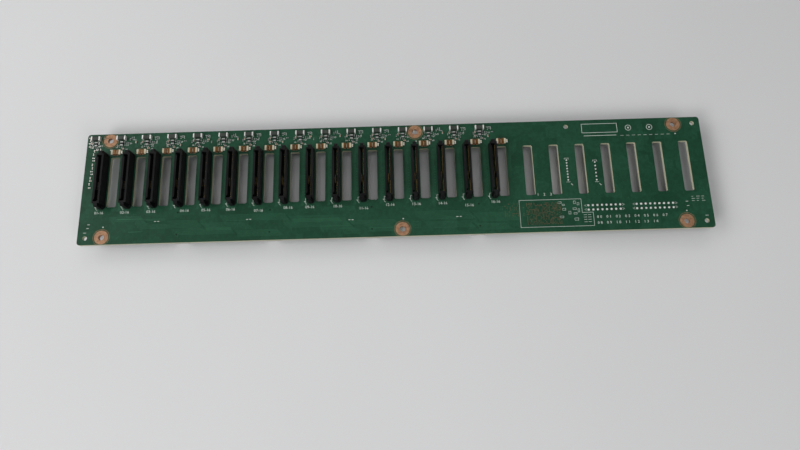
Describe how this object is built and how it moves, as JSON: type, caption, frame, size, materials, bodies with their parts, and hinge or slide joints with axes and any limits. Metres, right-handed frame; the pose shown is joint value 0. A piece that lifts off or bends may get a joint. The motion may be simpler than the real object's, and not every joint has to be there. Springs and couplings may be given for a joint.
{
  "type": "drive backplane board",
  "caption": "Long circuit board that carries a row of drive receptacles beside cooling slots, with link sockets, power headers and a heat sink behind.",
  "frame": {"origin": "middle of the board, on the surface that its rear connectors and capacitors lie on", "axes": "+X along the board towards the power headers' end, +Y across it towards the status lights, +Z out of the drive side"},
  "size_m": [0.4188, 0.078, 0.0213],
  "materials": {
    "laminate": "semi-gloss green solder mask over woven glass laminate",
    "connector_black": "moulded black thermoplastic, faintly glossy on its edges",
    "contact_gold": "gold-plated spring contacts",
    "light_cream": "clear-lensed surface-mount light packages",
    "fuse_dark": "dark polymer fuse bodies with bright solder ends",
    "shell_steel": "folded tin-plated sheet",
    "header_natural": "natural nylon",
    "pin_tin": "tin-plated square pins",
    "chip_black": "moulded epoxy package",
    "sink_aluminium": "extruded aluminium",
    "can_aluminium": "drawn aluminium can",
    "inductor_grey": "pressed ferrite powder"
  },
  "bodies": {
    "root": {"backplane_board": "laminate", "drive_connector_01": "connector_black", "drive_connector_02": "connector_black", "drive_connector_03": "connector_black", "drive_connector_04": "connector_black", "drive_connector_05": "connector_black", "drive_connector_06": "connector_black", "drive_connector_07": "connector_black", "drive_connector_08": "connector_black", "drive_connector_09": "connector_black", "drive_connector_10": "connector_black", "drive_connector_11": "connector_black", "drive_connector_12": "connector_black", "drive_connector_13": "connector_black", "drive_connector_14": "connector_black", "drive_connector_15": "connector_black", "drive_connector_16": "connector_black", "drive_contacts_01": "contact_gold", "drive_contacts_02": "contact_gold", "drive_contacts_03": "contact_gold", "drive_contacts_04": "contact_gold", "drive_contacts_05": "contact_gold", "drive_contacts_06": "contact_gold", "drive_contacts_07": "contact_gold", "drive_contacts_08": "contact_gold", "drive_contacts_09": "contact_gold", "drive_contacts_10": "contact_gold", "drive_contacts_11": "contact_gold", "drive_contacts_12": "contact_gold", "drive_contacts_13": "contact_gold", "drive_contacts_14": "contact_gold", "drive_contacts_15": "contact_gold", "drive_contacts_16": "contact_gold", "status_lights": "light_cream", "bay_fuses": "fuse_dark", "link_shell_1": "shell_steel", "link_shell_2": "shell_steel", "link_shell_3": "shell_steel", "link_shell_4": "shell_steel", "link_insert_1": "connector_black", "link_insert_2": "connector_black", "link_insert_3": "connector_black", "link_insert_4": "connector_black", "left_supply_housing": "connector_black", "left_supply_pins": "pin_tin", "right_supply_housing": "connector_black", "right_supply_pins": "pin_tin", "panel_header_housing": "header_natural", "panel_header_pins": "pin_tin", "service_header_housing": "header_natural", "service_header_pins": "pin_tin", "expander_chip": "chip_black", "expander_heatsink": "sink_aluminium", "bulk_capacitor_cans": "can_aluminium", "bulk_capacitor_bases": "chip_black", "power_inductors": "inductor_grey", "voltage_regulators": "chip_black"}
  },
  "joints": []
}
